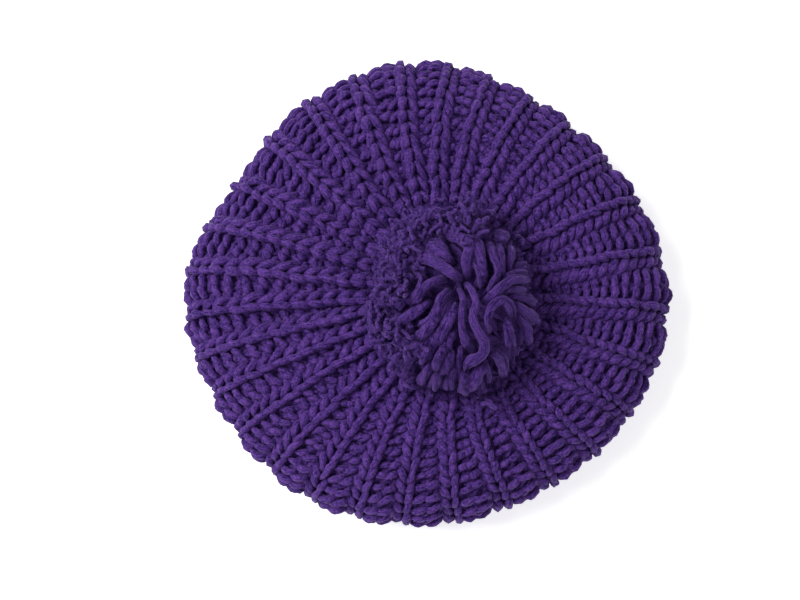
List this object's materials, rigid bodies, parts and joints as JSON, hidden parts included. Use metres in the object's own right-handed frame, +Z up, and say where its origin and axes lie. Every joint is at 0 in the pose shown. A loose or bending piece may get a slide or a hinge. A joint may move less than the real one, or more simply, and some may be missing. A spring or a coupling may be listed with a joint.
{
  "type": "knitted tam hat",
  "caption": "Round chunky rib-knit tam with a gathered crown, a rolled rim, a snug head band underneath and a big loose pompom on top.",
  "frame": {"origin": "under the middle of the hat's outline, on the surface it lies on", "axes": "+Z up through the crown, towards the pompom; +X to the right and +Y to the back, as the picture shows it"},
  "size_m": [0.2788, 0.27, 0.1034],
  "materials": {
    "knit_yarn": "matt knitted chunky yarn",
    "pompom_yarn": "matt loose cut yarn"
  },
  "bodies": {
    "root": {"crown": "knit_yarn", "band": "knit_yarn", "pompom": "pompom_yarn"}
  },
  "joints": []
}
